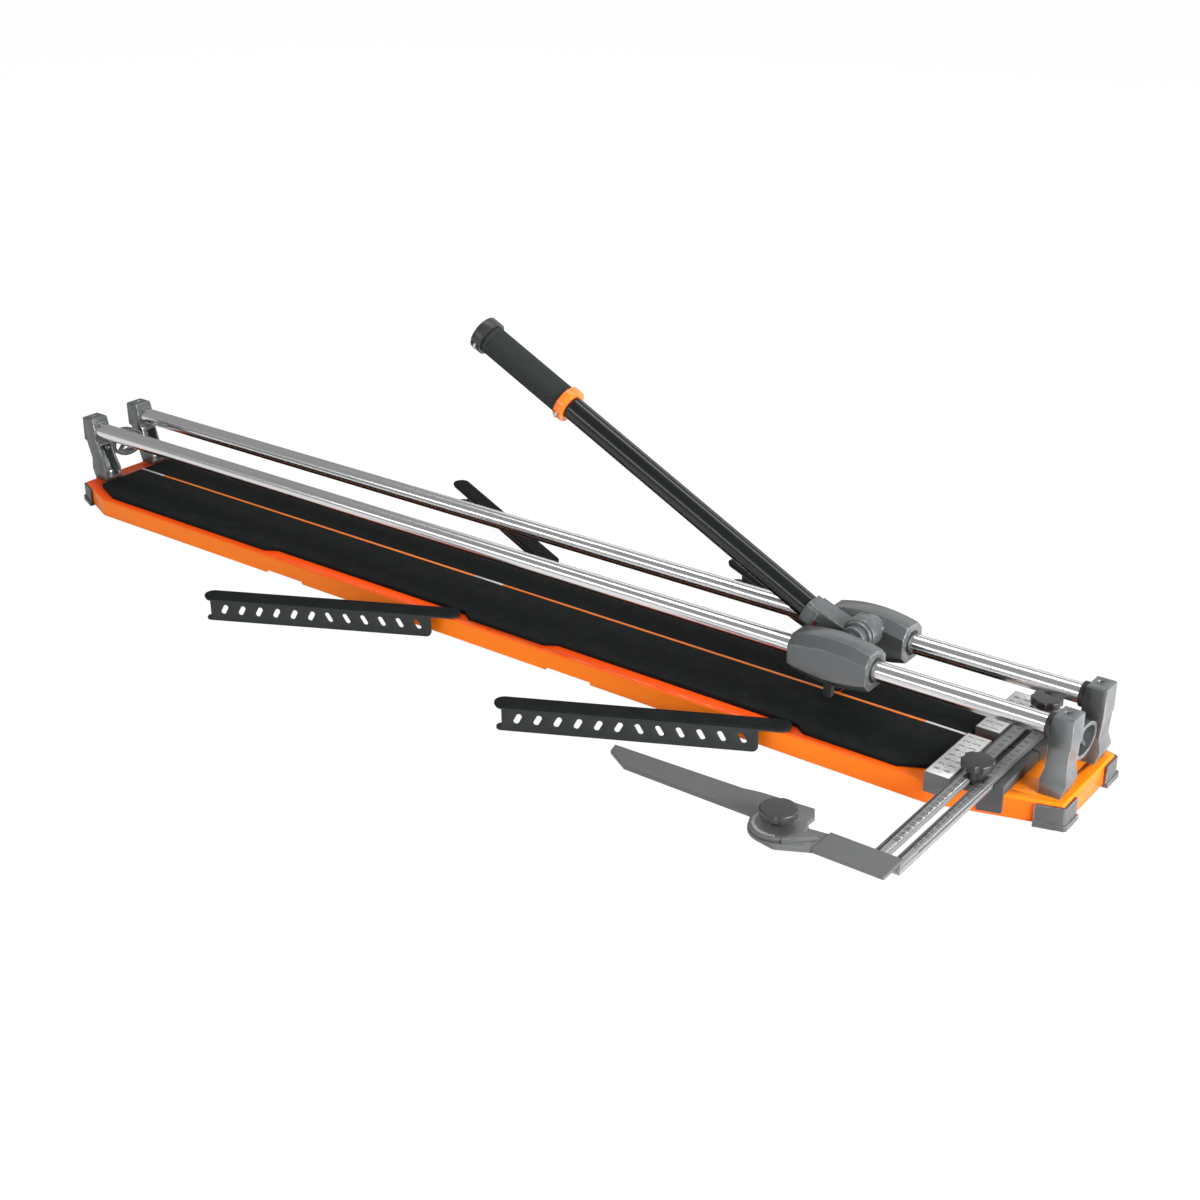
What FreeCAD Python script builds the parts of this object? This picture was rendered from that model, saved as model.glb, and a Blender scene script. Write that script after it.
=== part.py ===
"""Push-type tile cutter: a painted steel bed, two rails, a rolling carriage with a long lever,
four swing-out tile supports and a sliding gauge with a turning stop. Millimetres, +Z up.

Origin: centre of the bed's length, on the cut line, at the level the feet stand on.
+X points to the fence end, +Y to the far side of the cut line.
"""
import FreeCAD
import Part
import math
import os

V = FreeCAD.Vector

# ---- bed ----
base_length = 1351.0
base_width = 186.0
rear_end_width = 132.0
rear_taper_length = 66.0
front_end_width = 114.0
front_taper_length = 118.0
wall_height = 22.5
sheet = 2.0
bend_radius = 2.5
foot_drop = 2.0
tab_notch_height = 3.0
tab_notch_room = 5.0
shoe_wall = 3.0
shoe_lip = 2.2
shoe_lip_height = 5.5
shoe_top_drop = 2.5
shoe_reach = 23.5
shoe_along = 24.0
shoe_round = 4.0
middle_foot_spacing = 300.0
middle_foot_length = 50.0
middle_foot_overhang = 4.0
middle_foot_round = 6.0
channel_width = 44.0
channel_wall = 2.0
channel_end_gap = 70.0
channel_lift = 1.5

# ---- rubber bed pads and breaker ridge ----
pad_thickness = 5.0
pad_side_margin = 8.0
pad_rear_gap = 33.0
pad_rear_half_width = 66.0
pad_rear_chamfer = 44.0
pad_fence_gap = 2.0
pad_front_half_width = 68.0
pad_front_taper = 32.0
pad_edge = 0.8
ridge_width = 3.0
ridge_pad_gap = 0.3
ridge_rise = 0.2
insert_length = 42.0

# ---- rails and their posts ----
rail_diameter = 20.0
rail_wall = 2.5
rail_spacing = 73.0
rail_height = 58.2
rail_bore_clearance = 0.05
rail_socket = 16.0
post_height = 80.5
post_foot_width = 22.0
post_foot_height = 14.0
post_foot_tuck = 1.0
post_foot_bulge = 3.5
post_knee_rise = 12.0
post_waist_width = 21.0
post_head_width = 22.0
post_head_height = 30.0
post_head_slant = 3.0
post_slant_height = 14.0
post_neck_step = 3.0
post_head_outer = 48.5
post_head_inner = 24.0
post_head_draft = 1.0
post_leg_outer = 47.5
post_leg_inner = 25.5
post_foot_outer = 51.0
post_foot_inner = 26.0
post_wall = 2.4
post_floor = 4.5
post_roof_drop = 3.0
post_round = 2.5
post_rear_inset = 1.0
post_front_inset = 6.5
rear_lean = 16.0
front_lean = 3.0
waist_share = 0.45
neck_share = 0.85
bumper_length = 5.0
bumper_wall = 2.5
bridge_height = 37.5
bridge_half_width = 24.5
bridge_half_height = 17.0
bridge_wall = 3.5
bridge_length = 15.0
bridge_web = 5.0
bridge_rib = 3.0
bridge_hub_radius = 5.0
bridge_thread_depth = 3.0
lug_radius = 6.0
grub_radius = 3.0
bolt_radius = 3.0
bolt_head_radius = 6.2
bolt_head_height = 6.0
bolt_grip = 5.0
bridge_screw_radius = 2.0
bridge_screw_head_radius = 3.4
bridge_screw_head_height = 2.5
grub_below_top = 1.2

# ---- carriage ----
carriage_rest = 425.7
housing_length = 86.0
housing_width = 39.0
housing_end_height = 37.0
housing_mid_height = 50.0
housing_end_flat = 19.0
housing_mid_flat = 30.0
bush_length = 20.0
bush_wall = 3.0
bush_running_clearance = 0.05
rail_clearance_bore = 1.5
pivot_ahead = 7.3
pivot_rise = 15.8
axle_radius = 6.0
axle_running_clearance = 0.05
axle_half_length = 23.0
barrel_radius = 17.0
barrel_half_width = 12.0
barrel_band = 8.5
barrel_step_radius = 15.0
boss_radius = 12.0
housing_sections = 7
side_play = 0.35

# ---- lever, handle and breaker ----
lever_angle = 26.7
mouth_back = 60.5
mouth_rise = 9.5
mouth_length = 14.0
mouth_round = 5.0
spigot_length = 26.0
spigot_clearance = 0.05
lever_bar_depth = 13.0
lever_bar_half_width = 11.5
lever_bar_end = (-6.0, 1.0)
tube_diameter = 25.0
tube_wall = 2.0
tube_screw_radius = 2.5
tube_screw_length = 5.0
tube_mouth_gap = 0.5
tube_reach = 460.0
tube_end_wall = 3.0
grip_start = 339.0
grip_length = 110.0
grip_wall = 3.5
collar_wall = 6.0
collar_length = 10.0
end_clamp_wall = 6.5
clamp_screw_offset = 0.6
end_clamp_length = 14.0
clamp_screw_radius = 2.0
wheel_radius = 11.0
wheel_thickness = 3.0
wheel_bore = 2.5
wheel_back = 26.0
wheel_gap = 0.3
stem_half_width = 6.0
stem_depth = 13.0
fork_gap = 0.4
fork_room = 1.5
stem_tip = 3.5
stem_shoulder = 20.0
toe_depth = 9.0
toe_inner = 10.5
toe_outer = 16.5
toe_round = 3.0
ear_low = 13.5
ear_high = 24.0
ear_gap = 0.05
breaker_screw_radius = 2.0

# ---- swing-out supports ----
arm_pivot_from_rear = [651.0, 1074.0]
arm_pivot_inset = 6.0
pin_head_clearance = 0.1
arm_reach = 284.0
arm_width = 20.0
arm_angle = 26.7
arm_rubber = 2.7
arm_flange = 2.0
arm_web_offset = 7.5
arm_web_start = 21.0
arm_web_end = 275.0
arm_ground_gap = 1.2
arm_tab_length = 42.0
arm_tab_thickness = 2.0
arm_tab_end = 7.0
arm_tab_half_width = 6.5
arm_slot_count = 12
arm_slot_first = 36.5
arm_slot_pitch = 20.2
arm_slot_length = 12.5
arm_slot_width = 5.6
arm_slot_tilt = 28.0
arm_bed_gap = 0.3
arm_pad_gap = 0.5
pin_radius = 3.0
pin_head_height = 2.5
pin_running_clearance = 0.05

# ---- fence, gauge guide and gauge ----
fence_from_rear = 1231.0
fence_depth = 25.0
fence_height = 12.0
fence_half_gap = 8.0
fence_overhang = 2.5
fence_drop = 21.0
scale_plate_thickness = 1.0
scale_plate_margin = 0.6
bar_width = 13.5
bar_gap = 7.0
bar_thickness = 4.0
bar_side_play = 1.0
bar_floor_play = 0.3
bar_inner_end = 92.0
guide_floor = 6.5
guide_back_width = 8.0
guide_split = 1.5
guide_hook = 3.5
guide_hook_drop = 18.0
bed_screw_head_radius = 3.6
bed_screw_head_height = 2.5
channel_screw_room = 0.5
bed_screw_depth = 5.0
end_plate_length = 70.5
end_plate_width = 34.0
end_plate_thickness = 3.0
end_plate_left = 41.0
gauge_out = 237.0
bar_outer_end = 252.0
rivet_radius = 2.0
rivet_grip = 1.5
rivet_inset = 6.5
end_plate_corner = 1.5
edge_break = 0.6
knob_radius = 15.5
knob_thickness = 7.0
knob_lobe_depth = 1.5
stop_knob_lobe_depth = 0.8
lobe_share = 0.42
knob_edge_round = 1.5
knob_lobes = 6
knob_stem_radius = 8.0
knob_rise = 10.5
thread_radius = 3.0
thread_clearance = 0.1
knob_near_inset = 16.0
knob_far_inset = 23.0
clamp_plate_width = 20.0
clamp_plate_depth = 12.0
clamp_plate_thickness = 1.5

# ---- turning stop on the gauge ----
stop_back = 41.0
stop_out = 19.0
stop_thickness = 4.0
stop_outline = [(-193.4, 25.1), (-190.4, 13.8), (-163.7, -1.7), (-26.0, -1.7), (0.0, -12.0), (16.5, -21.3),
                (38.4, 1.0), (19.5, 2.2), (20.8, 26.5), (13.6, 38.6), (-38.3, 34.2), (-55.6, 30.4)]
stop_disc_radius = 25.5
bracket_radius = 26.5
bracket_outline = [(-4.0, -26.2), (13.3, -29.0), (43.3, -13.4), (57.0, -12.0), (57.0, 14.0), (40.0, 16.0), (0.0, 10.0)]
bracket_thickness = 3.5
bracket_drop = 0.2
stop_gap = 0.3
stop_stem_radius = 6.5
stop_knob_radius = 17.0
stop_knob_rise = 8.0

# ---- places worked out from the sizes above ----
base_rear = -base_length / 2
base_front = base_length / 2
plate_top = foot_drop + wall_height
plate_under = plate_top - sheet
pad_top = plate_top + pad_thickness
rail_radius = rail_diameter / 2
rail_z = pad_top + rail_height
arm_pivot_half_width = base_width / 2 - arm_pivot_inset
pin_head_radius = arm_pivot_inset - sheet - pin_head_clearance
bush_radius = rail_diameter / 2 + bush_wall
rail_clear_radius = rail_diameter / 2 + rail_clearance_bore
bumper_radius = rail_diameter / 2 + bumper_wall
grip_radius = tube_diameter / 2 + grip_wall
collar_radius = tube_diameter / 2 + collar_wall
end_clamp_radius = tube_diameter / 2 + end_clamp_wall
mouth_size = tube_diameter
knob_near = base_width / 2 - knob_near_inset
knob_far = base_width / 2 - knob_far_inset
rail_y = rail_spacing / 2
ridge_top = pad_top + ridge_rise
fence_x = base_rear + fence_from_rear
fence_top = plate_top + fence_height
bars_x = fence_x + fence_depth + bar_side_play
bars_z = plate_top + guide_floor + bar_floor_play
bars_top = bars_z + bar_thickness
gap_x = bars_x + bar_width + bar_gap / 2
pivot_x = carriage_rest + pivot_ahead
pivot_z = rail_z + pivot_rise
housing_mid = carriage_rest
wheel_x = pivot_x - wheel_back
wheel_z = ridge_top + wheel_gap + wheel_radius
stop_x = bars_x - end_plate_left - stop_back
stop_y = -gauge_out - stop_out
stop_z = bars_top + end_plate_thickness - 0.5
near = -1
far = 1


# ---- shape helpers ----
def box(x0, x1, y0, y1, z0, z1):
    return Part.makeBox(x1 - x0, y1 - y0, z1 - z0, V(x0, y0, z0))


def rod(radius, start, end):
    return Part.makeCylinder(radius, (end - start).Length, start, end - start)


def tube(outer, inner, start, end):
    return rod(outer, start, end).cut(rod(inner, start, end))


def prism(points, z0, z1):
    corners = [V(x, y, z0) for x, y in points]
    face = Part.Face(Part.makePolygon(corners + corners[:1]))
    return face.extrude(V(0, 0, z1 - z0))


def side_prism(points, y0, y1):
    corners = [V(x, y0, z) for x, z in points]
    face = Part.Face(Part.makePolygon(corners + corners[:1]))
    return face.extrude(V(0, y1 - y0, 0))


def end_prism(points, x0, x1):
    corners = [V(x0, y, z) for y, z in points]
    face = Part.Face(Part.makePolygon(corners + corners[:1]))
    return face.extrude(V(x1 - x0, 0, 0))


def flip_y(shape):
    return shape.mirror(V(0, 0, 0), V(0, 1, 0))


def upright_edges(shape):
    return [e for e in shape.Edges
            if len(e.Vertexes) == 2 and abs(e.tangentAt(e.FirstParameter).z) > 0.999]


def edges_at(shape, z):
    return [e for e in shape.Edges if abs(e.BoundBox.ZMin - z) < 1e-4 and abs(e.BoundBox.ZMax - z) < 1e-4]


def hexagon(radius, start, end):
    """A hexagonal bar from start to end, radius to its corners, along +X, +Y or Z."""
    way = end - start
    if abs(way.z) > 0:
        side = [V(math.cos(a), math.sin(a), 0) for a in [k * math.pi / 3 for k in range(6)]]
    elif abs(way.y) > 0:
        side = [V(math.cos(a), 0, math.sin(a)) for a in [k * math.pi / 3 for k in range(6)]]
    else:
        side = [V(0, math.cos(a), math.sin(a)) for a in [k * math.pi / 3 for k in range(6)]]
    corners = [start + s * radius for s in side]
    return Part.Face(Part.makePolygon(corners + corners[:1])).extrude(way)


def socket_screw(radius, head_radius, head_height, seat, down, length):
    """A socket-head screw: its head stands on seat, its shank runs along the unit vector down."""
    head = rod(head_radius, seat, seat - down * head_height)
    shank = rod(radius, seat, seat + down * length)
    socket = hexagon(head_radius * 0.55, seat - down * head_height, seat - down * (head_height * 0.35))
    return head.fuse(shank).removeSplitter().cut(socket)


def rounded(shape, edges, radius):
    return shape.makeFillet(radius, edges)


# ---- bed ----
def bed_outline(grow):
    """The bed's plan, each wall moved outward by grow."""
    half = base_width / 2
    rear = (rear_end_width / 2, rear_taper_length)
    front = (front_end_width / 2, front_taper_length)
    points = [(base_rear, -rear[0]), (base_rear + rear[1], -half), (base_front - front[1], -half),
              (base_front, -front[0]), (base_front, front[0]), (base_front - front[1], half),
              (base_rear + rear[1], half), (base_rear, rear[0])]
    return offset_outline(points, grow)


def offset_outline(points, grow):
    """A convex anticlockwise outline with every side moved outward by grow."""
    moved = []
    count = len(points)
    for i in range(count):
        before, here, after = points[i - 1], points[i], points[(i + 1) % count]
        n0 = side_normal(before, here)
        n1 = side_normal(here, after)
        share = grow / (1 + n0[0] * n1[0] + n0[1] * n1[1])
        moved.append((here[0] + (n0[0] + n1[0]) * share, here[1] + (n0[1] + n1[1]) * share))
    return moved


def side_normal(a, b):
    dx, dy = b[0] - a[0], b[1] - a[1]
    length = math.hypot(dx, dy)
    return (dy / length, -dx / length)


def base_tray():
    outer = prism(bed_outline(0), foot_drop, plate_top)
    outer = rounded(outer, upright_edges(outer), bend_radius)
    outer = rounded(outer, edges_at(outer, plate_top), bend_radius)
    inner = prism(bed_outline(-sheet), foot_drop - 1, plate_under)
    tray = outer.cut(inner)
    for from_rear in arm_pivot_from_rear:
        pivot = base_rear + from_rear
        notch = box(pivot - arm_web_end - arm_tab_end - tab_notch_room,
                    pivot - arm_web_end + arm_tab_length + tab_notch_room, -base_width, base_width,
                    0, foot_drop + tab_notch_height)
        tray = tray.cut(notch)
    for hole in plate_holes():
        tray = tray.cut(hole)
    return tray


def plate_holes():
    below, above = plate_under - 1, plate_top + 1
    holes = []
    for x, y in post_bolt_places():
        holes.append(rod(bolt_radius, V(x, y, below), V(x, y, above)))
    for x, y, side in arm_places():
        holes.append(rod(pin_radius, V(x, y, below), V(x, y, above)))
    for x, y in fence_screw_places() + guide_screw_places():
        holes.append(rod(rivet_radius, V(x, y, below), V(x, y, above)))
    return holes


def centre_channel():
    x0, x1 = base_rear + channel_end_gap, base_front - channel_end_gap
    half = channel_width / 2
    block = box(x0, x1, -half, half, foot_drop + channel_lift, plate_under)
    hollow = box(x0 - 1, x1 + 1, -half + channel_wall, half - channel_wall, foot_drop,
                 plate_under - channel_wall)
    channel = block.cut(hollow)
    for x, y in fence_screw_places() + guide_screw_places():
        if abs(y) < half + bed_screw_head_radius + channel_screw_room:
            channel = channel.cut(rod(bed_screw_head_radius + channel_screw_room, V(x, y, 0), V(x, y, plate_top)))
    return channel


def corner_foot(x_limit, y_limit, front):
    """A rubber shoe round one near corner of the bed, standing on the ground."""
    shoe = prism(bed_outline(shoe_wall), 0, plate_top - shoe_top_drop)
    shoe = rounded(shoe, upright_edges(shoe), shoe_round)
    lip = prism(bed_outline(shoe_wall + shoe_lip), 0, shoe_lip_height)
    shoe = shoe.fuse(rounded(lip, upright_edges(lip), shoe_round))
    x0, x1 = (x_limit, base_front + base_width) if front else (base_rear - base_width, x_limit)
    shoe = shoe.common(box(x0, x1, -base_width, -y_limit, 0, plate_top))
    shoe = shoe.cut(prism(bed_outline(0), foot_drop, plate_top + 1))
    return shoe.removeSplitter()


def corner_feet(front):
    if front:
        foot = corner_foot(base_front - shoe_reach, front_end_width / 2 - shoe_along, True)
    else:
        foot = corner_foot(base_rear + shoe_reach, rear_end_width / 2 - shoe_along, False)
    return Part.Compound([foot, flip_y(foot)])


def middle_feet():
    """Rubber blocks under the stiffening channel, which stop the bed bending as a tile breaks."""
    feet = []
    half_x, half_y = middle_foot_length / 2, channel_width / 2 + middle_foot_overhang
    for x in (-middle_foot_spacing, 0.0, middle_foot_spacing):
        foot = box(x - half_x, x + half_x, -half_y, half_y, 0, foot_drop + channel_lift)
        foot = rounded(foot, upright_edges(foot), middle_foot_round)
        feet.append(foot)
    return Part.Compound(feet)


# ---- pads and ridge ----
def pad_outline():
    """Near pad, anticlockwise from its rear inner corner; the folded supports lie in its two recesses."""
    inner = -(ridge_width / 2 + ridge_pad_gap)
    wide = -(base_width / 2 - pad_side_margin)
    narrow = -(arm_pivot_half_width - arm_width / 2 - arm_pad_gap)
    rear = base_rear + pad_rear_gap
    front = fence_x - pad_fence_gap
    points = [(rear, inner), (rear, -pad_rear_half_width), (rear + pad_rear_chamfer, wide)]
    for from_rear in arm_pivot_from_rear:
        x = base_rear + from_rear
        tip = x - arm_reach
        points += [(tip - 12, wide), (tip + 2, narrow), (x + 11, narrow), (x + 23, wide)]
    points += [(front - pad_front_taper, wide), (front, -pad_front_half_width), (front, inner)]
    return points


def near_pad():
    pad = prism(pad_outline(), plate_top, pad_top)
    return pad.makeChamfer(pad_edge, edges_at(pad, pad_top))


def insert_starts():
    """Rear ends of the three bright wear inserts along the ridge."""
    rear = base_rear + pad_rear_gap
    front = fence_x - pad_fence_gap
    return [rear + 1, (rear + front) / 2 - insert_length / 2, front - insert_length - 4]


def breaker_ridge():
    rear = base_rear + pad_rear_gap
    front = fence_x - pad_fence_gap
    half = ridge_width / 2
    ridge = box(rear, front, -half, half, plate_top, ridge_top)
    for x in insert_starts():
        ridge = ridge.cut(box(x, x + insert_length, -half, half, pad_top - 2, ridge_top))
    return ridge


def ridge_inserts():
    half = ridge_width / 2
    return Part.Compound([box(x, x + insert_length, -half, half, pad_top - 2, ridge_top)
                          for x in insert_starts()])


# ---- posts, bridges and rails ----
def post_frame(front):
    """Foot centre, head centre and outward direction of a post pair."""
    if front:
        foot = base_front - post_front_inset - post_foot_width / 2
        return foot, foot + front_lean, 1
    foot = base_rear + post_rear_inset + post_foot_width / 2
    return foot, foot - rear_lean, -1


def head_inner(front):
    foot, head, out = post_frame(front)
    return head - out * post_head_width / 2


def post_levels():
    """Heights of a post's knee, waist, neck, head bottom, slant start and top."""
    top = plate_top + post_height
    knee = plate_top + post_foot_height
    head_low = top - post_head_height
    return knee, knee + post_knee_rise, head_low - post_neck_step, head_low, top - post_slant_height, top


def post_centres(front):
    foot, head, out = post_frame(front)
    return foot + (head - foot) * waist_share, foot + (head - foot) * neck_share


def post_side(front):
    """Side profile of a post: flared foot, waisted leg leaning outward, square head."""
    foot, head, out = post_frame(front)
    knee, waist_z, neck_z, head_low, slant_z, top = post_levels()
    waist, neck = post_centres(front)
    foot_half, waist_half, head_half = post_foot_width / 2, post_waist_width / 2, post_head_width / 2
    inner = [(foot - out * foot_half, plate_top), (foot - out * foot_half, knee),
             (waist - out * waist_half, waist_z), (neck - out * waist_half, neck_z),
             (head - out * head_half, head_low), (head - out * head_half, slant_z),
             (head - out * (head_half - post_head_slant), top)]
    outer = [(foot + out * (foot_half - post_foot_tuck), plate_top), (foot + out * (foot_half + post_foot_bulge), knee),
             (waist + out * waist_half, waist_z), (neck + out * waist_half, neck_z),
             (head + out * head_half, head_low), (head + out * head_half, top)]
    return inner + outer[::-1]


def post_end():
    """End profile of a near post, seen along X."""
    knee, waist_z, neck_z, head_low, slant_z, top = post_levels()
    return [(-post_foot_inner, plate_top), (-post_foot_inner, knee), (-post_leg_inner, waist_z),
            (-post_leg_inner, neck_z), (-post_head_inner, head_low), (-post_head_inner, top),
            (-post_head_outer + post_head_draft, top), (-post_head_outer, head_low), (-post_leg_outer, neck_z),
            (-post_leg_outer, waist_z), (-post_foot_outer, knee), (-post_foot_outer, plate_top)]


def post_pocket(front):
    """Deep pocket in a post's inner side, which leaves thin walls round the bolt and up the leg."""
    foot, head, out = post_frame(front)
    knee, waist_z, neck_z, head_low, slant_z, top = post_levels()
    waist, neck = post_centres(front)
    open_x = foot - out * post_foot_width
    foot_deep = post_foot_width / 2 - post_wall
    leg_deep = post_waist_width / 2 - post_wall
    floor, roof = plate_top + post_floor, neck_z - post_roof_drop
    profile = [(open_x, floor), (foot + out * (foot_deep - post_foot_tuck), floor), (foot + out * foot_deep, knee),
               (waist + out * leg_deep, waist_z), (neck + out * leg_deep, roof), (open_x, roof)]
    return side_prism(profile, -post_leg_outer + post_wall, -post_foot_inner - post_wall)


def near_post(front):
    foot, head, out = post_frame(front)
    body = side_prism(post_side(front), -post_foot_outer - 1, -post_head_inner + 1)
    room = post_foot_width + abs(head - foot)
    body = body.common(end_prism(post_end(), foot - room, foot + room))
    body = rounded(body, edges_at(body, plate_top + post_height), post_round)
    body = body.cut(post_pocket(front))
    inner = head_inner(front)
    bore_end = inner + out * rail_socket
    body = body.cut(rod(rail_radius + rail_bore_clearance, V(inner - out * post_head_width, -rail_y, rail_z),
                        V(bore_end, -rail_y, rail_z)))
    body = body.cut(rod(grub_radius, V(head, -rail_y, rail_z), V(head, -rail_y, rail_z + post_height)))
    bolt_y = -(post_leg_outer + post_leg_inner) / 2
    body = body.cut(rod(bolt_radius, V(foot, bolt_y, plate_top - 1), V(foot, bolt_y, plate_top + post_floor + 1)))
    x, z = bridge_centre(front), plate_top + bridge_height
    return body.cut(rod(bridge_screw_radius, V(x, -post_leg_outer + post_wall, z), V(x, -post_leg_inner + 1, z)))


def post_bolt_places():
    y = (post_leg_outer + post_leg_inner) / 2
    return [(post_frame(front)[0], side * y) for front in (False, True) for side in (near, far)]


def post_bolts():
    down = V(0, 0, -1)
    return Part.Compound([socket_screw(bolt_radius, bolt_head_radius, bolt_head_height,
                                       V(x, y, plate_top + post_floor), down, post_floor + sheet + bolt_grip)
                          for x, y in post_bolt_places()])


def bridge_centre(front):
    return post_centres(front)[0]


def oval(half_width, half_height, x0, x1, z):
    """A bar of oval section along X, centred on the cut line at height z."""
    edge = Part.Ellipse(V(0, 0, 0), half_width, half_height).toShape()
    face = Part.Face(Part.Wire(edge))
    face.rotate(V(0, 0, 0), V(1, 1, 1), 120)
    face.translate(V(x0, 0, z))
    return face.extrude(V(x1 - x0, 0, 0))


def bridge(front):
    """Oval cross piece between the two posts of one end, hollow along X, with a crossed web inside."""
    x = bridge_centre(front)
    z = plate_top + bridge_height
    x0, x1 = x - bridge_length / 2, x + bridge_length / 2
    body = oval(bridge_half_width, bridge_half_height, x0, x1, z)
    body = body.cut(oval(bridge_half_width - bridge_wall, bridge_half_height - bridge_wall, x0 - 1, x1 + 1, z))
    for side in (near, far):
        body = body.fuse(rod(lug_radius, V(x, side * (bridge_half_width - bridge_wall / 2), z),
                             V(x, side * post_leg_inner, z)))
    half = bridge_web / 2
    inside = oval(bridge_half_width - bridge_wall / 2, bridge_half_height - bridge_wall / 2, x - half, x + half, z)
    for turn in (45, 135):
        rib = box(x - half, x + half, -bridge_half_width * 2, bridge_half_width * 2, -bridge_rib / 2, bridge_rib / 2)
        rib.rotate(V(x, 0, 0), V(1, 0, 0), turn)
        rib.translate(V(0, 0, z))
        body = body.fuse(rib.common(inside))
    body = body.fuse(rod(bridge_hub_radius, V(x - half, 0, z), V(x + half, 0, z)))
    for side in (near, far):
        start = side * post_leg_inner
        body = body.cut(rod(bridge_screw_radius, V(x, start, z), V(x, start - side * bridge_thread_depth, z)))
    return body.removeSplitter()


def bridge_screws():
    screws = []
    z = plate_top + bridge_height
    seat = post_foot_inner + post_wall
    length = seat - post_leg_inner + bridge_thread_depth
    for front in (False, True):
        x = bridge_centre(front)
        for side in (near, far):
            screws.append(socket_screw(bridge_screw_radius, bridge_screw_head_radius, bridge_screw_head_height,
                                       V(x, side * seat, z), V(0, -side, 0), length))
    return Part.Compound(screws)


def rail_ends():
    return head_inner(False) - rail_socket, head_inner(True) + rail_socket


def near_rail():
    x0, x1 = rail_ends()
    return tube(rail_radius, rail_radius - rail_wall, V(x0, -rail_y, rail_z), V(x1, -rail_y, rail_z))


def rail_bumpers():
    x1 = head_inner(True)
    ring = tube(bumper_radius, rail_radius, V(x1 - bumper_length, -rail_y, rail_z), V(x1, -rail_y, rail_z))
    return Part.Compound([ring, flip_y(ring)])


def rail_grub_screws():
    screws = []
    for front in (False, True):
        foot, head, out = post_frame(front)
        for side in (near, far):
            low = V(head, side * rail_y, rail_z + rail_radius)
            high = V(head, side * rail_y, plate_top + post_height - grub_below_top)
            screw = rod(grub_radius, low, high)
            screws.append(screw.cut(hexagon(grub_radius * 0.6, high, high - V(0, 0, 2.5))))
    return Part.Compound(screws)


# ---- fence and gauge guide ----
def fence_half(side):
    """One half of the fence, a block on the bed that hooks over the side wall."""
    outer = base_width / 2 + fence_overhang
    x0, x1 = fence_x, fence_x + fence_depth
    block = box(x0, x1, -outer, -fence_half_gap, plate_top, fence_top)
    hook = box(x0, x1, -outer, -base_width / 2 - 0.2, fence_top - fence_drop, plate_top)
    block = block.fuse(hook).cut(prism(bed_outline(0.1), 0, plate_top)).removeSplitter()
    seat = box(x0 + scale_plate_margin, x1 - scale_plate_margin, -outer + scale_plate_margin,
               -fence_half_gap - scale_plate_margin, fence_top - scale_plate_thickness, fence_top)
    block = block.cut(seat)
    for x, y in fence_screw_places():
        if y < 0:
            block = block.cut(rod(rivet_radius, V(x, y, plate_top - 1), V(x, y, plate_top + bed_screw_depth + 1)))
    return block if side == near else flip_y(block)


def scale_plates():
    outer = base_width / 2 + fence_overhang
    plate = box(fence_x + scale_plate_margin, fence_x + fence_depth - scale_plate_margin,
                -outer + scale_plate_margin, -fence_half_gap - scale_plate_margin,
                fence_top - scale_plate_thickness, fence_top)
    return Part.Compound([plate, flip_y(plate)])


def fence_screw_places():
    x = fence_x + fence_depth / 2
    return [(x, y * side) for side in (near, far) for y in (30.0, 70.0)]


def guide_screw_places():
    x = bars_x + 2 * bar_width + bar_gap + bar_side_play + guide_back_width / 2
    return [(x, y * side) for side in (near, far) for y in (18.0, 58.0)]


def bed_screws():
    """Screws from under the bed plate into the fence halves and the gauge guides."""
    up = V(0, 0, 1)
    return Part.Compound([socket_screw(rivet_radius, bed_screw_head_radius, bed_screw_head_height,
                                       V(x, y, plate_under), up, sheet + bed_screw_depth)
                          for x, y in fence_screw_places() + guide_screw_places()])


def guide_half(side):
    """Half of the gauge guide: a floor under the two ruler bars and a back wall beside them."""
    x0 = fence_x + fence_depth + 0.4
    x1 = bars_x + 2 * bar_width + bar_gap + bar_side_play
    x2 = x1 + guide_back_width
    floor_top = plate_top + guide_floor
    profile = [(x0, plate_top), (x2, plate_top), (x2, bars_top), (x1, bars_top), (x1, floor_top), (x0, floor_top)]
    reach = base_width / 2 + 6
    body = side_prism(profile, -reach, -guide_split)
    body = body.common(prism(bed_outline(guide_hook), 0, bars_top + 1))
    hook = prism(bed_outline(guide_hook), plate_top - guide_hook_drop, plate_top)
    hook = hook.cut(prism(bed_outline(0.2), 0, plate_top + 1))
    hook = hook.common(box(x1 - bar_width, x2, -reach, -base_width / 4, 0, plate_top))
    body = body.fuse(hook).removeSplitter()
    for y in (-knob_near, -knob_far):
        if (side == near) == (y == -knob_near):
            body = body.cut(rod(thread_radius, V(gap_x, y, plate_top - 1), V(gap_x, y, bars_top)))
    for x, y in guide_screw_places():
        if y < 0:
            body = body.cut(rod(rivet_radius, V(x, y, plate_top - 1), V(x, y, plate_top + bed_screw_depth + 1)))
    return body if side == near else flip_y(body)


# ---- lobed clamp knobs ----
def lobed_knob(x, y, seat, rise, radius, stem, lobe_depth, thread_down):
    """A lobed hand knob: threaded stud below, round stem, and a head with finger scallops."""
    low, high = seat + rise, seat + rise + knob_thickness
    head = rod(radius, V(x, y, low), V(x, y, high))
    scallop = radius * lobe_share
    reach = radius + scallop - lobe_depth
    for k in range(knob_lobes):
        turn = 2 * math.pi * k / knob_lobes
        at = V(x + reach * math.cos(turn), y + reach * math.sin(turn), low - 1)
        head = head.cut(rod(scallop, at, at + V(0, 0, knob_thickness + 2)))
    head = rounded(head, edges_at(head, high), knob_edge_round)
    collar = rod(stem, V(x, y, seat), V(x, y, low))
    stud = rod(thread_radius - thread_clearance, V(x, y, seat - thread_down), V(x, y, seat))
    return head.fuse(collar).fuse(stud).removeSplitter()


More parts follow.
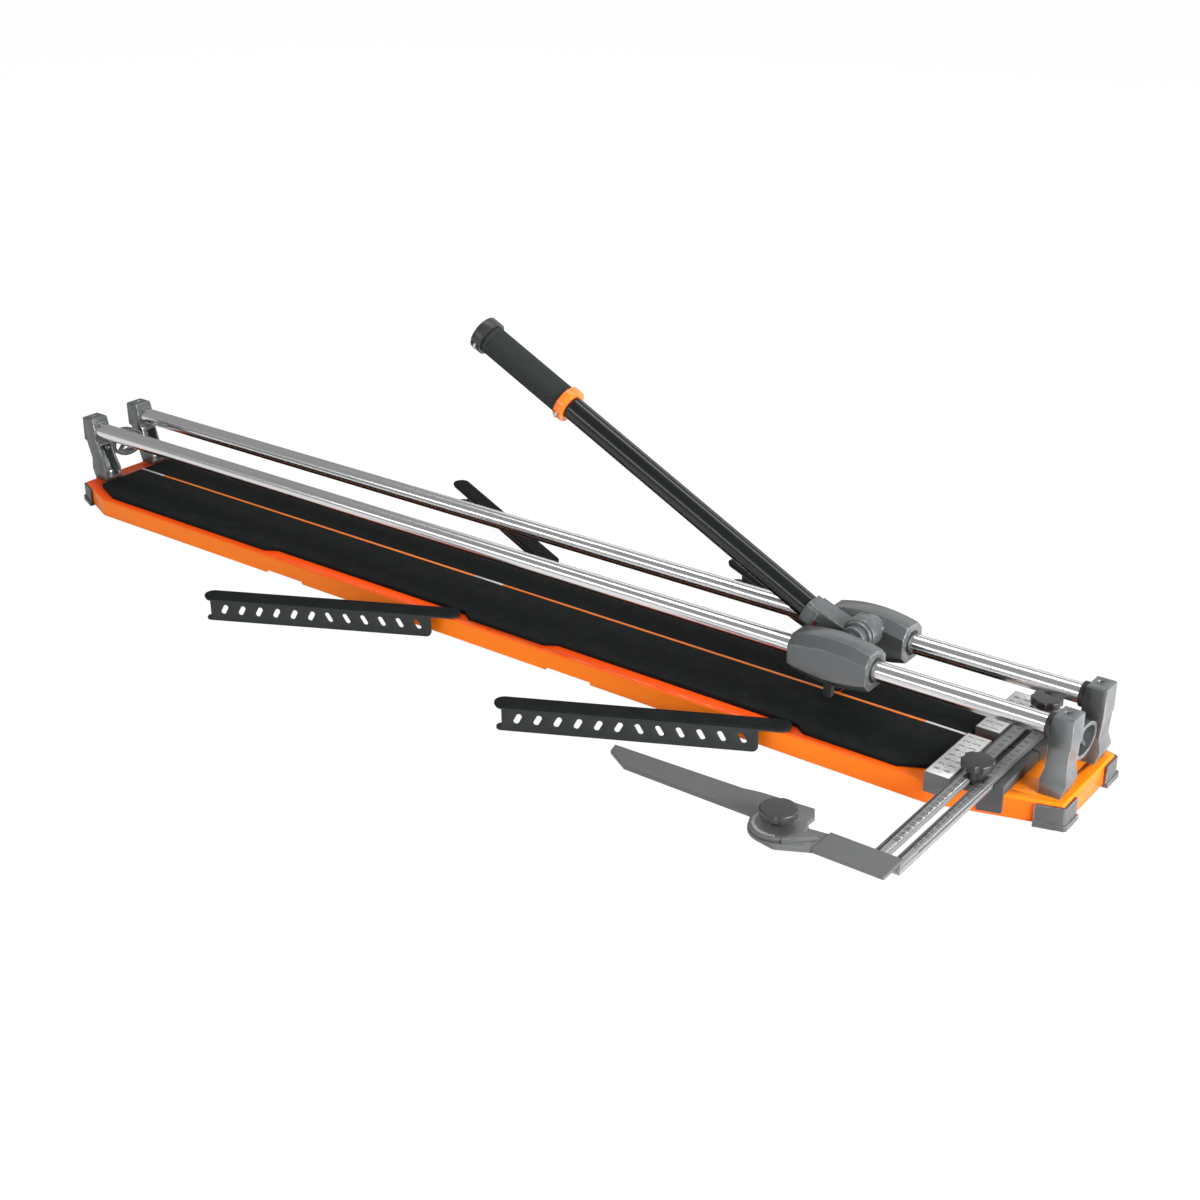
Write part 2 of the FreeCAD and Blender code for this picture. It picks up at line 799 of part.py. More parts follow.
def ruler_knob(y):
    seat = bars_top + side_play + clamp_plate_thickness
    return lobed_knob(gap_x, y, seat + stop_gap, knob_rise, knob_radius, knob_stem_radius, knob_lobe_depth,
                      seat - plate_top - 1)


def clamp_plates():
    """Pressure plates that the ruler knobs push onto the two bars."""
    plates = []
    for y in (-knob_near, knob_far):
        low = bars_top + side_play
        plate = box(gap_x - clamp_plate_width / 2, gap_x + clamp_plate_width / 2, y - clamp_plate_depth / 2,
                    y + clamp_plate_depth / 2, low, low + clamp_plate_thickness)
        tongue = box(gap_x - bar_gap / 2 + 0.4, gap_x + bar_gap / 2 - 0.4, y - clamp_plate_depth / 2,
                     y + clamp_plate_depth / 2, plate_top + guide_floor, low)
        plate = plate.fuse(tongue).cut(rod(thread_radius + 0.2, V(gap_x, y, 0), V(gap_x, y, low + 5)))
        plates.append(plate.removeSplitter())
    return Part.Compound(plates)


# ---- gauge ----
def ruler_bars():
    bars = []
    for k in range(2):
        x0 = bars_x + k * (bar_width + bar_gap)
        bar = box(x0, x0 + bar_width, -bar_outer_end, bar_inner_end, bars_z, bars_top)
        bar = bar.makeChamfer(edge_break, edges_at(bar, bars_top))
        for y in rivet_rows():
            x = x0 + bar_width / 2
            bar = bar.cut(rod(rivet_radius, V(x, y, bars_z - 1), V(x, y, bars_top + 1)))
        bars.append(bar)
    return Part.Compound(bars)


def rivet_rows():
    return [-gauge_out - rivet_inset]


def rivet_places():
    places = []
    for k in range(2):
        x = bars_x + k * (bar_width + bar_gap) + bar_width / 2
        places += [(x, y) for y in rivet_rows()]
    return places


def end_plate_x():
    x0 = bars_x - end_plate_left
    return x0, x0 + end_plate_length


def gauge_end_plate():
    x0, x1 = end_plate_x()
    y1 = -gauge_out
    plate = box(x0, x1, y1 - end_plate_width, y1, bars_top, bars_top + end_plate_thickness)
    plate = rounded(plate, upright_edges(plate), end_plate_corner)
    plate = plate.makeChamfer(edge_break, edges_at(plate, bars_top + end_plate_thickness))
    for x, y in rivet_places():
        plate = plate.cut(rod(rivet_radius, V(x, y, bars_top - 1), V(x, y, bars_top + rivet_grip)))
    return plate


def gauge_rivets():
    return Part.Compound([rod(rivet_radius, V(x, y, bars_z), V(x, y, bars_top + rivet_grip))
                          for x, y in rivet_places()])


def about_stop(outline, z0, z1):
    return prism([(stop_x + x, stop_y + y) for x, y in outline], z0, z1)


def stop_bracket():
    """Round bracket beside the end plate that carries the turning stop."""
    x0, x1 = end_plate_x()
    top = stop_z - bracket_drop
    low = top - bracket_thickness
    disc = rod(bracket_radius, V(stop_x, stop_y, low), V(stop_x, stop_y, top))
    body = disc.fuse(about_stop(bracket_outline, low, top))
    body = body.cut(box(x0, x1, stop_y - base_width, stop_y + base_width, bars_top, top + 1))
    body = body.cut(rod(thread_radius, V(stop_x, stop_y, low - 1), V(stop_x, stop_y, top + 1)))
    return body.removeSplitter()


def stop_arm():
    """Turning stop: a bevel-ended bar on a protractor disc."""
    top = stop_z + stop_thickness
    disc = rod(stop_disc_radius, V(stop_x, stop_y, stop_z), V(stop_x, stop_y, top))
    body = about_stop(stop_outline, stop_z, top).fuse(disc).removeSplitter()
    body = body.makeChamfer(edge_break, edges_at(body, top))
    return body.cut(rod(thread_radius, V(stop_x, stop_y, stop_z - 1), V(stop_x, stop_y, top + 1)))


def stop_knob():
    seat = stop_z + stop_thickness + stop_gap
    return lobed_knob(stop_x, stop_y, seat, stop_knob_rise, stop_knob_radius, stop_stem_radius,
                      stop_knob_lobe_depth, stop_thickness + bracket_thickness)


# ---- swing-out supports ----
def arm_places():
    places = []
    for side in (near, far):
        for from_rear in arm_pivot_from_rear:
            places.append((base_rear + from_rear, side * arm_pivot_half_width, side))
    return places


def long_round(half, start, end, z0, z1):
    """A strip from start to end along -X with round ends, about the pivot at the origin."""
    a, b = -start - half, -end + half
    body = box(b, a, -half, half, z0, z1)
    for x in (a, b):
        body = body.fuse(rod(half, V(x, 0, z0), V(x, 0, z1)))
    return body.removeSplitter()


def place_arm(shape, index):
    x, y, side = arm_places()[index]
    placed = shape if side == near else flip_y(shape)
    placed = placed.copy()
    placed.rotate(V(0, 0, 0), V(0, 0, 1), arm_angle if side == near else -arm_angle)
    placed.translate(V(x, y, 0))
    return placed


def arm_levels():
    low = plate_top + arm_bed_gap
    return low, low + arm_flange, low + arm_flange + arm_rubber


def arm_channel(index):
    """Pressed support: top flange on the bed, outer web with slanted slots, foot tab at the tip."""
    low, mid, top = arm_levels()
    half = arm_width / 2
    flange = long_round(half - 0.5, -half + 0.5, arm_reach - 1, low, mid)
    y0, y1 = -arm_web_offset - 2, -arm_web_offset
    web = box(-arm_web_end, -arm_web_start, y0, y1, arm_ground_gap, mid)
    lower = [e for e in web.Edges if abs(e.tangentAt(e.FirstParameter).y) > 0.99 and e.BoundBox.ZMax < low
             and e.BoundBox.XMin > -arm_web_start - 1]
    web = rounded(web, lower, 6)
    for k in range(arm_slot_count):
        s = arm_slot_first + k * arm_slot_pitch
        slot = web_slot(-s, arm_slot_tilt if k < arm_slot_count / 2 else -arm_slot_tilt)
        web = web.cut(slot)
    tab = long_round(arm_tab_half_width, arm_web_end - arm_tab_length, arm_web_end + arm_tab_end,
                     arm_ground_gap, arm_ground_gap + arm_tab_thickness)
    tab.translate(V(0, -arm_web_offset - 2 + arm_tab_half_width, 0))
    body = flange.fuse(web).fuse(tab).removeSplitter()
    body = body.cut(rod(pin_radius + pin_running_clearance, V(0, 0, 0), V(0, 0, top + 1)))
    return place_arm(body, index)


def web_slot(x, tilt):
    """A slanted through slot in a support's web, centred at height slot_z."""
    slot_z = plate_top - 9.3
    half = arm_slot_width / 2
    run = arm_slot_length / 2 - half
    y0, y1 = -arm_web_offset - 4, -arm_web_offset + 2
    slot = box(x - half, x + half, y0, y1, slot_z - run, slot_z + run)
    for z in (slot_z - run, slot_z + run):
        slot = slot.fuse(rod(half, V(x, y0, z), V(x, y1, z)))
    slot.rotate(V(x, 0, slot_z), V(0, 1, 0), -tilt)
    return slot


def arm_pad(index):
    low, mid, top = arm_levels()
    half = arm_width / 2
    pad = long_round(half, -half, arm_reach, mid, top)
    pad = rounded(pad, edges_at(pad, top), 0.8)
    return place_arm(pad, index)


def arm_pivot_pins():
    low, mid, top = arm_levels()
    pins = []
    for x, y, side in arm_places():
        shank = rod(pin_radius, V(x, y, plate_under), V(x, y, mid - pin_head_clearance))
        pins.append(shank.fuse(rod(pin_head_radius, V(x, y, plate_under - pin_head_height),
                                   V(x, y, plate_under))).removeSplitter())
    return Part.Compound(pins)


# ---- carriage ----
def octagon(x, half_width, half_height, half_flat):
    """Octagonal section of a near housing at x, about the rail's axis."""
    cut = half_height - half_flat
    flat_y = half_width - cut
    points = [(-half_width, -half_flat), (-flat_y, -half_height), (flat_y, -half_height), (half_width, -half_flat),
              (half_width, half_flat), (flat_y, half_height), (-flat_y, half_height), (-half_width, half_flat)]
    corners = [V(x, -rail_y + y, rail_z + z) for y, z in points]
    return Part.makePolygon(corners + corners[:1])


def near_housing():
    """Boat-shaped casting round the near rail, arched along its length, with the lever's bearing boss."""
    half_length = housing_length / 2
    half_width = housing_width / 2
    sections = []
    for k in range(housing_sections):
        along = 2 * k / (housing_sections - 1) - 1
        swell = 1 - along * along
        height = housing_end_height + (housing_mid_height - housing_end_height) * swell
        flat = housing_end_flat + (housing_mid_flat - housing_end_flat) * swell
        sections.append(octagon(housing_mid + along * half_length, half_width, height / 2, flat / 2))
    body = Part.makeLoft(sections, True, False)
    boss_face = barrel_half_width + side_play
    inner_face = rail_y - half_width
    body = body.fuse(rod(boss_radius, V(pivot_x, -inner_face - bush_wall, pivot_z), V(pivot_x, -boss_face, pivot_z)))
    x0, x1 = housing_mid - half_length, housing_mid + half_length
    body = body.cut(rod(rail_clear_radius, V(x0 - 1, -rail_y, rail_z), V(x1 + 1, -rail_y, rail_z)))
    for a, b in ((x0 - 1, x0 + bush_length), (x1 - bush_length, x1 + 1)):
        body = body.cut(rod(bush_radius, V(a, -rail_y, rail_z), V(b, -rail_y, rail_z)))
    return body.cut(rod(axle_radius, V(pivot_x, -axle_half_length, pivot_z), V(pivot_x, 0, pivot_z)))


def slide_bushes():
    """Plain bearings pressed into both ends of each housing; they run on the rails."""
    bushes = []
    half_length = housing_length / 2
    inner = rail_radius + bush_running_clearance
    for side in (near, far):
        for a in (housing_mid - half_length + 1, housing_mid + half_length - bush_length):
            bushes.append(tube(bush_radius, inner, V(a, side * rail_y, rail_z),
                               V(a + bush_length - 1, side * rail_y, rail_z)))
    return Part.Compound(bushes)


def lever_axle():
    return rod(axle_radius, V(pivot_x, -axle_half_length, pivot_z), V(pivot_x, axle_half_length, pivot_z))


# ---- lever and handle ----
def handle_point(along):
    """A point on the handle's centre line, measured from the socket's mouth."""
    turn = math.radians(lever_angle)
    return V(pivot_x - mouth_back - along * math.cos(turn), 0, pivot_z + mouth_rise + along * math.sin(turn))


def handle_rod(radius, a, b):
    return rod(radius, handle_point(a), handle_point(b))


def lever_knuckle():
    """Cast lever: barrel on the axle, bar and mouth for the tube's spigot, and a stem down to the wheel."""
    x, z = pivot_x, pivot_z
    w = barrel_half_width
    barrel = rod(barrel_step_radius, V(x, -w, z), V(x, w, z))
    barrel = barrel.fuse(rod(barrel_radius, V(x, -barrel_band, z), V(x, barrel_band, z)))
    spigot = handle_rod(tube_diameter / 2 - tube_wall - spigot_clearance, -mouth_length / 2, spigot_length)
    stem_half = stem_depth / 2
    stem = side_prism([(x - mouth_length - 5, z - 5), (x - stem_half, z - barrel_step_radius / 2),
                       (wheel_x + stem_half, wheel_z + stem_shoulder), (wheel_x + stem_half, wheel_z - stem_tip),
                       (wheel_x - stem_half, wheel_z - stem_tip), (wheel_x - stem_half, wheel_z + stem_shoulder)],
                      -stem_half_width, stem_half_width)
    body = barrel.fuse(mouth_block()).fuse(lever_bar()).fuse(spigot).fuse(stem).removeSplitter()
    body = body.cut(rod(axle_radius + axle_running_clearance, V(x, -w - 1, z), V(x, w + 1, z)))
    slot = wheel_thickness / 2 + fork_gap
    room = wheel_radius + fork_room
    body = body.cut(box(wheel_x - room, wheel_x + room, -slot, slot, 0, wheel_z + room))
    body = body.cut(rod(wheel_bore, V(wheel_x, -stem_half_width - 1, wheel_z),
                        V(wheel_x, stem_half_width + 1, wheel_z)))
    return body.cut(breaker_screw()).cut(tube_screw())


def handle_block(shape):
    """Turns a shape drawn with the handle along -X, its mouth at the origin, onto the handle's line."""
    placed = shape.copy()
    placed.rotate(V(0, 0, 0), V(0, 1, 0), lever_angle)
    placed.translate(handle_point(0))
    return placed


def mouth_block():
    half = mouth_size / 2
    block = box(0, mouth_length, -half, half, -half, half)
    along = [e for e in block.Edges if abs(e.tangentAt(e.FirstParameter).x) > 0.99]
    return handle_block(rounded(block, along, mouth_round))


def lever_bar():
    """Straight bar from the top of the mouth down into the barrel."""
    turn = math.radians(lever_angle)
    up = V(math.sin(turn), 0, math.cos(turn))
    top = handle_point(-mouth_length / 2) + up * (mouth_size / 2)
    low = top - up * lever_bar_depth
    end_x, end_z = pivot_x + lever_bar_end[0], pivot_z + lever_bar_end[1]
    start = handle_point(-mouth_round) + up * (mouth_size / 2)
    return side_prism([(start.x, start.z), (end_x, end_z), (end_x - up.x * lever_bar_depth, end_z - up.z * lever_bar_depth),
                       (low.x, low.z)], -lever_bar_half_width, lever_bar_half_width)


def tube_screw_seat():
    turn = math.radians(lever_angle)
    return handle_point(spigot_length / 2) - V(math.sin(turn), 0, math.cos(turn)) * (tube_diameter / 2)


def tube_screw():
    """Grub screw through the underside of the tube into the lever's spigot."""
    turn = math.radians(lever_angle)
    seat = tube_screw_seat()
    return rod(tube_screw_radius, seat, seat + V(math.sin(turn), 0, math.cos(turn)) * tube_screw_length)


def handle_tube():
    outer = handle_rod(tube_diameter / 2, tube_mouth_gap, tube_reach)
    hollow = handle_rod(tube_diameter / 2 - tube_wall, 0, tube_reach - tube_end_wall)
    return outer.cut(hollow).cut(tube_screw())


def handle_grip():
    """Rubber grip: a sleeve with fine ribs round it."""
    a, b = grip_start, grip_start + grip_length
    body = handle_rod(grip_radius, a, b).cut(handle_rod(tube_diameter / 2, a - 1, b + 1))
    return body


def split_clamp(radius, a, length):
    """A clamp ring round the tube with a slit and a screw lug on its near side."""
    ring = handle_rod(radius, a, a + length).cut(handle_rod(tube_diameter / 2, a - 1, a + length + 1))
    turn = math.radians(lever_angle)
    slit = box(-length, length, -radius - 6, -tube_diameter / 2 + 2, -0.7, 0.7)
    slit.rotate(V(0, 0, 0), V(0, 1, 0), lever_angle)
    slit.translate(handle_point(a + length / 2) + V(-math.sin(turn) * 5, 0, -math.cos(turn) * 5))
    return ring.cut(slit)


def clamp_screw(radius, a, length):
    """The clamp ring's socket screw, across its slit, in the middle of the ring's wall."""
    turn = math.radians(lever_angle)
    up = V(math.sin(turn), 0, math.cos(turn))
    centre = handle_point(a + length / 2) + V(0, -(radius + tube_diameter / 2) / 2 - clamp_screw_offset, 0) - up * 5
    return rod(clamp_screw_radius, centre - up * 6, centre + up * 4)


def grip_collar():
    a = grip_start - collar_length
    return split_clamp(collar_radius, a, collar_length).cut(clamp_screw(collar_radius, a, collar_length))


def grip_end_clamp():
    a = grip_start + grip_length
    length = tube_reach + 1.5 - a
    ring = split_clamp(end_clamp_radius, a, length)
    return ring.cut(clamp_screw(end_clamp_radius, a, length))


def grip_screws():
    a = grip_start + grip_length
    return Part.Compound([clamp_screw(collar_radius, grip_start - collar_length, collar_length),
                          clamp_screw(end_clamp_radius, a, tube_reach + 1.5 - a)])


def scoring_wheel():
    """Carbide wheel with a sharpened rim."""
    half = wheel_thickness / 2
    edge = wheel_radius - 1.5
    y = half
    centre = V(wheel_x, 0, wheel_z)
    hub = rod(edge, centre + V(0, -y, 0), centre + V(0, y, 0))
    rims = []
    for s in (-1, 1):
        rims.append(Part.makeCone(edge, wheel_radius, half, centre + V(0, s * y, 0), V(0, -s, 0)))
    wheel = hub.fuse(rims[0]).fuse(rims[1])
    wheel = wheel.cut(rod(wheel_bore + axle_running_clearance, centre - V(0, 9, 0), centre + V(0, 9, 0)))
    return wheel.removeSplitter()


def wheel_pin():
    return rod(wheel_bore, V(wheel_x, -stem_half_width, wheel_z), V(wheel_x, stem_half_width, wheel_z))


def breaker_foot():
    """Two rounded toes beside the wheel, each with an ear screwed to the side of the lever's stem."""
    low = ridge_top + wheel_gap
    half = toe_depth / 2
    toe = box(wheel_x - half, wheel_x + half, -toe_outer, -toe_inner, low, wheel_z + ear_high)
    bottom = [e for e in edges_at(toe, low) if abs(e.tangentAt(e.FirstParameter).y) > 0.99]
    ear = box(wheel_x - half, wheel_x + half, -toe_inner, -stem_half_width - ear_gap, wheel_z + ear_low,
              wheel_z + ear_high)
    toe = rounded(toe, bottom, toe_round).fuse(ear).removeSplitter().cut(breaker_screw())
    return Part.Compound([toe, flip_y(toe)])


def breaker_screw():
    """Cross screw through both ears of the breaker and the lever's stem, above the wheel."""
    z = wheel_z + (ear_low + ear_high) / 2
    return rod(breaker_screw_radius, V(wheel_x, -toe_outer, z), V(wheel_x, toe_outer, z))


# ---- assembly ----
def parts():
    made = {
        "base_tray": base_tray(),
        "centre_channel": centre_channel(),
        "rear_corner_feet": corner_feet(False),
        "front_corner_feet": corner_feet(True),
        "middle_feet": middle_feet(),
        "near_pad": near_pad(),
        "far_pad": flip_y(near_pad()),
        "breaker_ridge": breaker_ridge(),
        "ridge_inserts": ridge_inserts(),
        "rear_bridge": bridge(False),
        "front_bridge": bridge(True),
        "post_bolts": post_bolts(),
        "bridge_screws": bridge_screws(),
        "near_rail": near_rail(),
        "far_rail": flip_y(near_rail()),
        "rail_bumpers": rail_bumpers(),
        "rail_grub_screws": rail_grub_screws(),
        "near_fence": fence_half(near),
        "far_fence": fence_half(far),
        "scale_plates": scale_plates(),
        "bed_screws": bed_screws(),
        "near_gauge_guide": guide_half(near),
        "far_gauge_guide": guide_half(far),
        "clamp_plates": clamp_plates(),
        "near_ruler_knob": ruler_knob(-knob_near),
        "far_ruler_knob": ruler_knob(knob_far),
        "ruler_bars": ruler_bars(),
        "gauge_end_plate": gauge_end_plate(),
        "gauge_rivets": gauge_rivets(),
        "stop_bracket": stop_bracket(),
        "stop_arm": stop_arm(),
        "stop_knob": stop_knob(),
        "arm_pivot_pins": arm_pivot_pins(),
        "near_housing": near_housing(),
        "far_housing": flip_y(near_housing()),
        "slide_bushes": slide_bushes(),
        "lever_axle": lever_axle(),
        "lever_knuckle": lever_knuckle(),
        "tube_screw": tube_screw(),
        "handle_tube": handle_tube(),
        "handle_grip": handle_grip(),
        "grip_collar": grip_collar(),
        "grip_end_clamp": grip_end_clamp(),
        "grip_screws": grip_screws(),
        "scoring_wheel": scoring_wheel(),
        "wheel_pin": wheel_pin(),
        "breaker_foot": breaker_foot(),
        "breaker_screw": breaker_screw(),
    }
    for end, front in (("rear", False), ("front", True)):
        post = near_post(front)
        made[end + "_near_post"] = post
        made[end + "_far_post"] = flip_y(post)
    names = ("near_rear", "near_front", "far_rear", "far_front")
    for index, name in enumerate(names):
        made[name + "_arm"] = arm_channel(index)
        made[name + "_arm_pad"] = arm_pad(index)
    return made


def main():
    os.makedirs("parts", exist_ok=True)
    for name, shape in parts().items():
        for solid in shape.Solids:
            if not solid.isValid():
                print("not valid:", name)
        shape.exportStep("parts/" + name + ".step")
        print(name, len(shape.Solids), round(shape.Volume))


main()
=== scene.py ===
import bpy
import bmesh
import math
from mathutils import Matrix, Vector


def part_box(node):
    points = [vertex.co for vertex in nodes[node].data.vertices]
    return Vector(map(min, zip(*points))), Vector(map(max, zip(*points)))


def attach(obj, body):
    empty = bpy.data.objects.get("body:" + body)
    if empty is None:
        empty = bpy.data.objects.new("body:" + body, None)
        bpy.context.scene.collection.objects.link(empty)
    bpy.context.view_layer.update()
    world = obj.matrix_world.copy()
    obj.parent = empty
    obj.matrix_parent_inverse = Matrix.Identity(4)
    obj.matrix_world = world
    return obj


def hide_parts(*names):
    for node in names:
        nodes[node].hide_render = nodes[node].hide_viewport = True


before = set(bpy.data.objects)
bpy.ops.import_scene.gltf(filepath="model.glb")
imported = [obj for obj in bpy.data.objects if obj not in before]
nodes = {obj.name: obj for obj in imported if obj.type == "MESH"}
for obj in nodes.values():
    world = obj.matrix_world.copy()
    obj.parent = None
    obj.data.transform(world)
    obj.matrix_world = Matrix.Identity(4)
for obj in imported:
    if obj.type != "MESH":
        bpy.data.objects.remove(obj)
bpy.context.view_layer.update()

scene = bpy.context.scene
print("frame loaded:", len(nodes), "nodes")


# camera, floor and light
cameraSettings = {
    "place": (1.1698, -1.3873, 0.8688),
    "azimuth": 37.28,
    "elevation": 25.19,
    "roll": -0.40,
    "lens": 53.49,
    "sensor": 36.0,
}

studioSettings = {
    "floorSize": 40.0,
    "floorTone": (0.93, 0.93, 0.93, 1),
    "floorGlow": 1.04,
    "glowShare": 0.93,
    "skyTone": (1.0, 1.0, 1.0, 1),
    "skyStrength": 0.34,
    "sideLight": {"place": (2.6, -0.3, 0.75), "aim": (0.5, 0.0, 0.05), "size": (1.6, 1.1), "power": 125},
    "topLight": {"place": (-0.3, 0.6, 2.6), "aim": (0.0, 0.0, 0.0), "size": (3.2, 0.7), "power": 27},
    "frontLight": {"place": (-0.9, -2.6, 1.1), "aim": (0.0, 0.0, 0.1), "size": (2.8, 0.5), "power": 19},
    "farLight": {"place": (-0.2, 3.0, 1.7), "aim": (0.0, 0.0, 0.0), "size": (5.0, 1.3), "power": 20},
}


def makeCamera(settings):
    a = math.radians(settings["azimuth"])
    e = math.radians(settings["elevation"])
    roll = math.radians(settings["roll"])
    back = Vector((math.sin(a) * math.cos(e), -math.cos(a) * math.cos(e), math.sin(e)))
    right = Vector((math.cos(a), math.sin(a), 0))
    up = back.cross(right)
    rolledRight = right * math.cos(roll) + up * math.sin(roll)
    rolledUp = up * math.cos(roll) - right * math.sin(roll)
    data = bpy.data.cameras.new("mainCamera")
    data.lens = settings["lens"]
    data.sensor_width = settings["sensor"]
    camera = bpy.data.objects.new("mainCamera", data)
    scene.collection.objects.link(camera)
    turn = Matrix((rolledRight, rolledUp, back)).transposed()
    camera.matrix_world = Matrix.Translation(settings["place"]) @ turn.to_4x4()
    scene.camera = camera


def addSoftBox(name, settings):
    data = bpy.data.lights.new(name, "AREA")
    data.shape = "RECTANGLE"
    data.size, data.size_y = settings["size"]
    data.energy = settings["power"]
    light = bpy.data.objects.new(name, data)
    scene.collection.objects.link(light)
    place = Vector(settings["place"])
    light.location = place
    light.rotation_euler = (place - Vector(settings["aim"])).to_track_quat("Z", "Y").to_euler()


def makeStudio(settings):
    floorMesh = bmesh.new()
    bmesh.ops.create_grid(floorMesh, x_segments=1, y_segments=1, size=settings["floorSize"] / 2)
    mesh = bpy.data.meshes.new("studioFloor")
    floorMesh.to_mesh(mesh)
    floorMesh.free()
    floor = bpy.data.objects.new("studioFloor", mesh)
    scene.collection.objects.link(floor)
    paint = bpy.data.materials.new("floorPaper")
    paint.use_nodes = True
    shader = paint.node_tree.nodes["Principled BSDF"]
    shader.inputs["Base Color"].default_value = settings["floorTone"]
    shader.inputs["Roughness"].default_value = 0.9
    shader.inputs["Specular IOR Level"].default_value = 0.1
    glow = paint.node_tree.nodes.new("ShaderNodeEmission")
    glow.inputs["Strength"].default_value = settings["floorGlow"]
    seen = paint.node_tree.nodes.new("ShaderNodeLightPath")
    share = paint.node_tree.nodes.new("ShaderNodeMath")
    share.operation = "MULTIPLY"
    share.inputs[1].default_value = settings["glowShare"]
    blend = paint.node_tree.nodes.new("ShaderNodeMixShader")
    join = paint.node_tree.links.new
    join(seen.outputs["Is Camera Ray"], share.inputs[0])
    join(share.outputs[0], blend.inputs["Fac"])
    join(shader.outputs[0], blend.inputs[1])
    join(glow.outputs[0], blend.inputs[2])
    join(blend.outputs[0], paint.node_tree.nodes["Material Output"].inputs["Surface"])
    mesh.materials.append(paint)
    world = bpy.data.worlds.new("studioSky")
    world.use_nodes = True
    sky = world.node_tree.nodes["Background"]
    sky.inputs["Color"].default_value = settings["skyTone"]
    sky.inputs["Strength"].default_value = settings["skyStrength"]
    scene.world = world
    for name in ("sideLight", "topLight", "frontLight", "farLight"):
        addSoftBox(name, settings[name])
    scene.view_settings.view_transform = "Standard"


makeCamera(cameraSettings)
makeStudio(studioSettings)
print("camera and studio ready")


# shared surface effects
def newGroup(name, inputs, outputs):
    group = bpy.data.node_groups.new(name, "ShaderNodeTree")
    for label, value in inputs:
        socket = group.interface.new_socket(label, in_out="INPUT", socket_type="NodeSocketFloat")
        socket.default_value = value
    for label in outputs:
        group.interface.new_socket(label, in_out="OUTPUT", socket_type="NodeSocketFloat")
    return group, group.nodes.new("NodeGroupInput"), group.nodes.new("NodeGroupOutput")


def mathNode(tree, operation, first, second=None, clamp=False):
    node = tree.nodes.new("ShaderNodeMath")
    node.operation = operation
    node.use_clamp = clamp
    for socket, value in ((node.inputs[0], first), (node.inputs[1], second)):
        if value is None:
            continue
        if isinstance(value, (int, float)):
            socket.default_value = value
        else:
            tree.links.new(value, socket)
    return node.outputs[0]


def noiseNode(tree, vector, scale, detail=3.0, roughness=0.5):
    node = tree.nodes.new("ShaderNodeTexNoise")
    node.inputs["Detail"].default_value = detail
    node.inputs["Roughness"].default_value = roughness
    tree.links.new(vector, node.inputs["Vector"])
    if isinstance(scale, (int, float)):
        node.inputs["Scale"].default_value = scale
    else:
        tree.links.new(scale, node.inputs["Scale"])
    return node.outputs["Fac"]


def objectPoint(tree):
    return tree.nodes.new("ShaderNodeTexCoord").outputs["Object"]


def upwardShare(tree):
    shape = tree.nodes.new("ShaderNodeNewGeometry")
    split = tree.nodes.new("ShaderNodeSeparateXYZ")
    tree.links.new(shape.outputs["Normal"], split.inputs[0])
    return mathNode(tree, "MULTIPLY", split.outputs["Z"], 1.0, True)


# numbers for the edge mask that lightens edges: partly wear, partly painted edge highlight
wearNumbers = {"samples": 4, "cut": 0.38, "gain": 5.0, "detail": 4.0, "grit": 0.6}
dustNumbers = {"cut": 0.42, "gain": 3.0, "detail": 6.0, "grit": 0.7}
grainNumbers = {"fineShare": 0.35, "broadShare": 0.65, "fineDetail": 3.0, "fineGrit": 0.6, "broadDetail": 5.0,
                "broadGrit": 0.65}
lineNumbers = {"detail": 4.0, "grit": 0.6}
dustTone = (0.42, 0.41, 0.39)


def patchMask(tree, scale, numbers):
    patch = noiseNode(tree, objectPoint(tree), scale, numbers["detail"], numbers["grit"])
    patch = mathNode(tree, "SUBTRACT", patch, numbers["cut"], True)
    return mathNode(tree, "MULTIPLY", patch, numbers["gain"], True)


# lighter edges from a bevel-node edge mask broken up by noise: partly wear, partly a painted highlight along
# the edges
def makeEdgeWearAndHighlight():
    group, inside, outside = newGroup("edgeWearAndHighlight", [("Width", 0.0008), ("Strength", 4.0), ("Breakup", 60.0)],
                                      ["Mask"])
    bevel = group.nodes.new("ShaderNodeBevel")
    bevel.samples = wearNumbers["samples"]
    group.links.new(inside.outputs["Width"], bevel.inputs["Radius"])
    shape = group.nodes.new("ShaderNodeNewGeometry")
    dot = group.nodes.new("ShaderNodeVectorMath")
    dot.operation = "DOT_PRODUCT"
    group.links.new(bevel.outputs["Normal"], dot.inputs[0])
    group.links.new(shape.outputs["Normal"], dot.inputs[1])
    edge = mathNode(group, "SUBTRACT", 1.0, dot.outputs["Value"], True)
    edge = mathNode(group, "MULTIPLY", edge, inside.outputs["Strength"], True)
    patch = patchMask(group, inside.outputs["Breakup"], wearNumbers)
    group.links.new(mathNode(group, "MULTIPLY", edge, patch, True), outside.inputs["Mask"])
    return group


def makeFineGrain():
    group, inside, outside = newGroup("fineGrain", [("Scale", 900.0), ("Patches", 14.0)], ["Height", "Tone"])
    point = objectPoint(group)
    numbers = grainNumbers
    fine = noiseNode(group, point, inside.outputs["Scale"], numbers["fineDetail"], numbers["fineGrit"])
    broad = noiseNode(group, point, inside.outputs["Patches"], numbers["broadDetail"], numbers["broadGrit"])
    group.links.new(fine, outside.inputs["Height"])
    finePart = mathNode(group, "MULTIPLY", fine, numbers["fineShare"])
    broadPart = mathNode(group, "MULTIPLY", broad, numbers["broadShare"])
    group.links.new(mathNode(group, "ADD", finePart, broadPart, True), outside.inputs["Tone"])
    return group


def makeSettledDust():
    group, inside, outside = newGroup("settledDust", [("Scale", 30.0), ("Amount", 0.15)], ["Mask"])
    dust = mathNode(group, "MULTIPLY", upwardShare(group),
                    patchMask(group, inside.outputs["Scale"], dustNumbers))
    group.links.new(mathNode(group, "MULTIPLY", dust, inside.outputs["Amount"], True), outside.inputs["Mask"])
    return group


